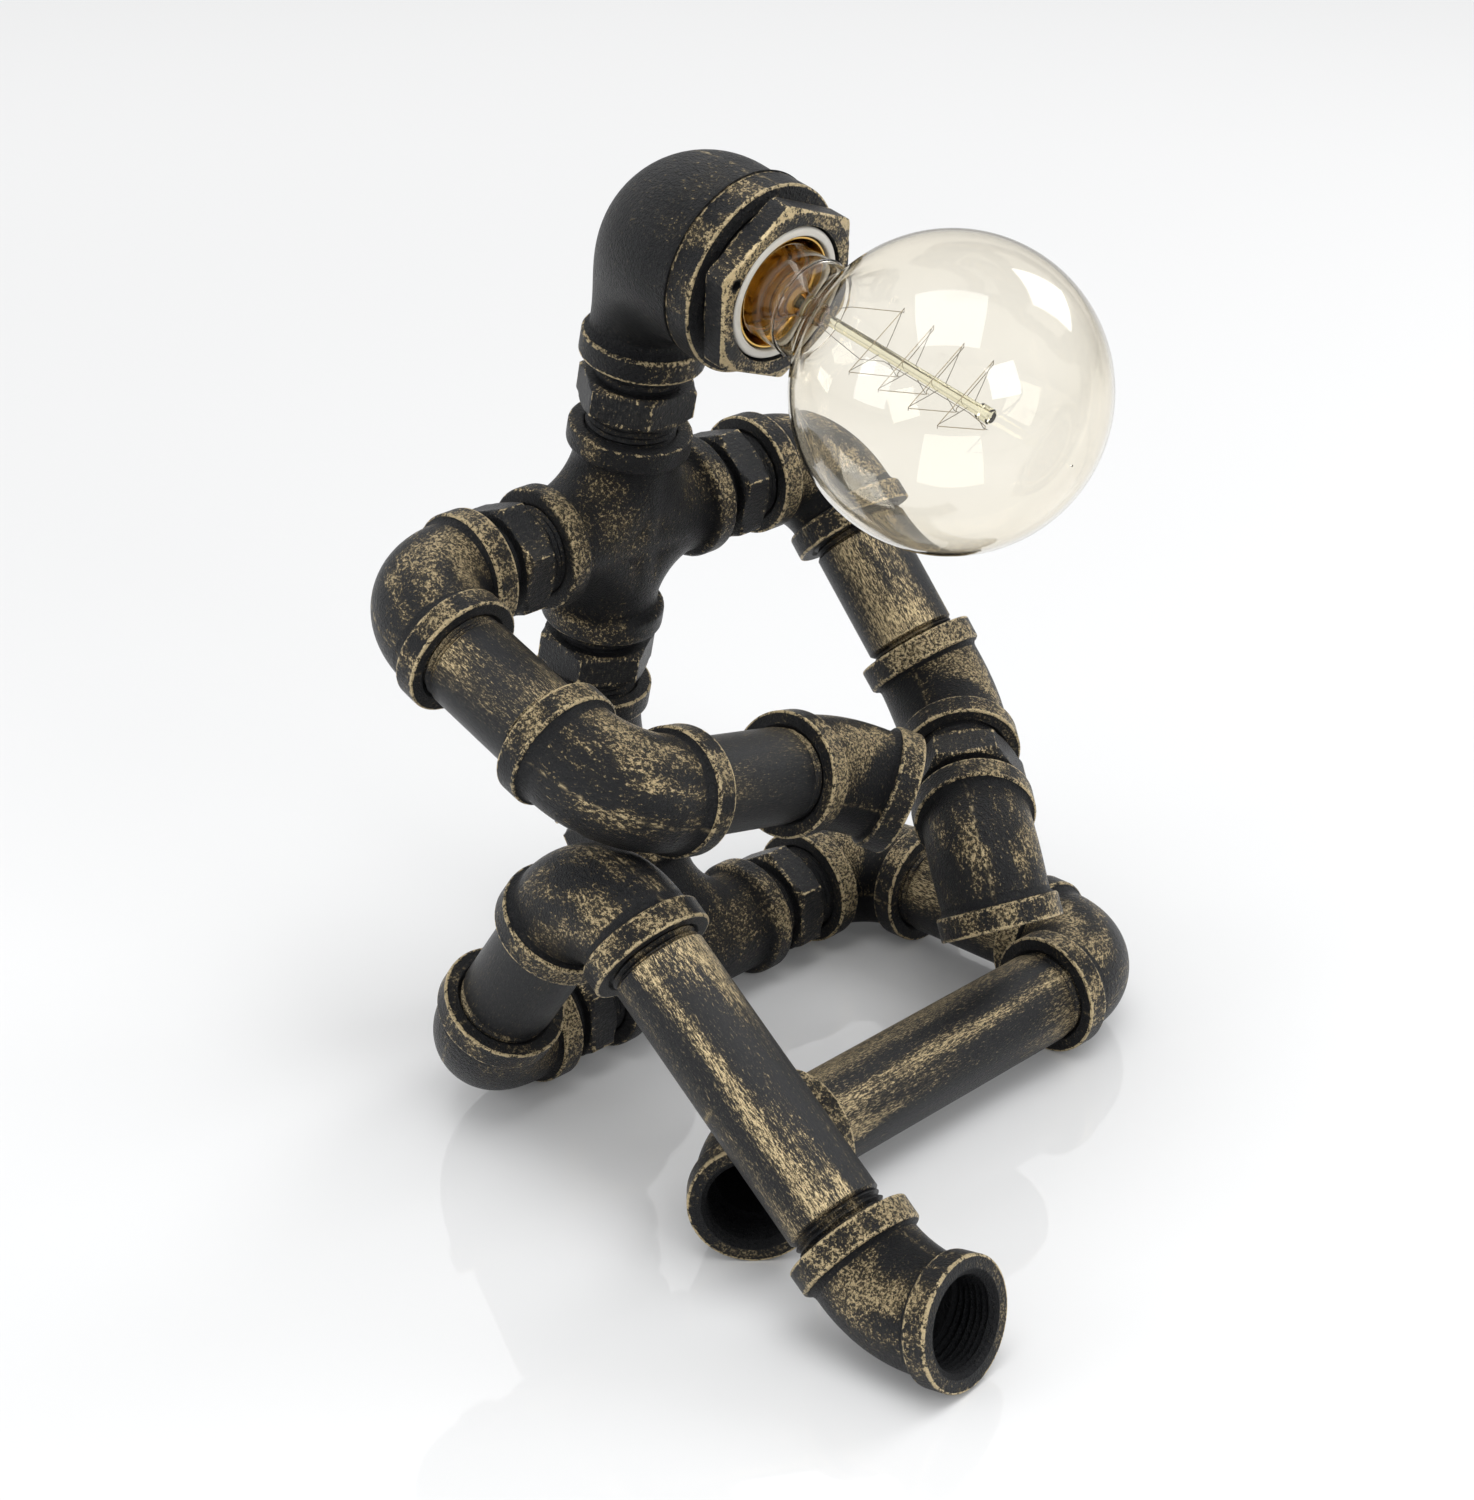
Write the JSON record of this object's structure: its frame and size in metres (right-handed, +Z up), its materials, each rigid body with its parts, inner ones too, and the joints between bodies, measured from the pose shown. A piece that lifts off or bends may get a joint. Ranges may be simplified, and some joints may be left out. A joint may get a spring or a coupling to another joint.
{
  "type": "desk lamp",
  "caption": "Desk lamp shaped as a seated thinking figure of black and gold iron pipe fittings, with a clear globe bulb as its face.",
  "frame": {"origin": "on the table, under the centre of the whole lamp", "axes": "+Z up, -Y the way the figure faces, +X towards the figure's left hand"},
  "size_m": [0.2044, 0.2404, 0.2614],
  "materials": {
    "fitting": "satin black paint with dry-brushed antique gold on the bands and crowns",
    "pipe": "satin black paint with streaks of antique gold along it",
    "porcelain": "glazed white porcelain",
    "brass": "bright",
    "steel": "plain",
    "rubber": "matte",
    "clear_glass": "clear",
    "insulator": "black glass-like insulator",
    "filament": "fine wire"
  },
  "bodies": {
    "torso_and_legs": {"pelvis_tee": "fitting", "waist_nipple": "pipe", "lower_back_elbow": "fitting", "spine_nipple": "pipe", "chest_cross": "fitting", "neck_nipple": "pipe", "body_flex": "rubber", "cord_grommet": "rubber", "right_shoulder_nipple": "pipe", "left_shoulder_nipple": "pipe", "right_hip_nipple": "pipe", "right_hip_elbow": "fitting", "right_thigh_pipe": "pipe", "right_knee_elbow": "fitting", "right_shin_pipe": "pipe", "right_foot_elbow": "fitting", "left_hip_nipple": "pipe", "left_hip_elbow": "fitting", "left_thigh_pipe": "pipe", "left_knee_elbow": "fitting", "left_shin_pipe": "pipe", "left_foot_elbow": "fitting"},
    "head": {"head_elbow": "fitting", "head_bushing": "fitting", "porcelain_body": "porcelain", "retaining_ring": "steel", "screw_shell": "brass", "centre_contact": "brass", "terminal_screws": "steel", "head_flex": "rubber"},
    "bulb": {"bulb_glass": "clear_glass", "bulb_cap": "brass", "bulb_insulator": "insulator", "bulb_contact": "steel", "bulb_stem": "clear_glass", "bulb_supports": "steel", "bulb_filament": "filament"},
    "right_upper_arm": {"right_shoulder_elbow": "fitting", "right_upper_arm_pipe": "pipe"},
    "right_forearm": {"right_elbow": "fitting", "right_forearm_pipe": "pipe"},
    "right_hand": {"right_hand_elbow": "fitting"},
    "left_upper_arm": {"left_shoulder_elbow": "fitting", "left_upper_arm_pipe": "pipe"},
    "left_forearm": {"left_elbow": "fitting", "left_wrist_nipple": "pipe"},
    "left_hand": {"left_hand_elbow": "fitting"}
  },
  "joints": [
    {"name": "head_turn", "type": "hinge", "parent": "torso_and_legs", "child": "head", "pos_m": [0.00219, 0.07932, 0.19968], "axis": [0, -0.213, 0.977], "range_deg": [-75, 75]},
    {"name": "bulb_unscrew", "type": "slide", "parent": "head", "child": "bulb", "axis": [-0.0209, -0.9768, -0.213], "range_m": [0, 0.0245]},
    {"name": "right_shoulder_turn", "type": "hinge", "parent": "torso_and_legs", "child": "right_upper_arm", "pos_m": [-0.0498, 0.09168, 0.14813], "axis": [-0.9998, 0.0205, 0.0045], "range_deg": [0, 25]},
    {"name": "right_elbow_turn", "type": "hinge", "parent": "right_upper_arm", "child": "right_forearm", "pos_m": [-0.0786, 0.03337, 0.12671], "axis": [-0.0207, -0.9389, -0.3436], "range_deg": [0, 20]},
    {"name": "right_wrist_turn", "type": "hinge", "parent": "right_forearm", "child": "right_hand", "pos_m": [-0.01158, 0.01274, 0.09901], "axis": [0.9628, 0.0739, -0.26], "range_deg": [-90, 90]},
    {"name": "left_shoulder_turn", "type": "hinge", "parent": "torso_and_legs", "child": "left_upper_arm", "pos_m": [0.05368, 0.08956, 0.14767], "axis": [0.9998, -0.0205, -0.0045], "range_deg": [-35, 8]},
    {"name": "left_elbow_turn", "type": "hinge", "parent": "left_upper_arm", "child": "left_forearm", "pos_m": [0.08005, 0.04505, 0.09872], "axis": [-0.017, -0.669, -0.7431], "range_deg": [-45, 30]},
    {"name": "left_wrist_turn", "type": "hinge", "parent": "left_forearm", "child": "left_hand", "pos_m": [0.05381, -0.00038, 0.07132], "axis": [-0.6161, -0.7392, -0.272], "range_deg": [-90, 90]}
  ]
}
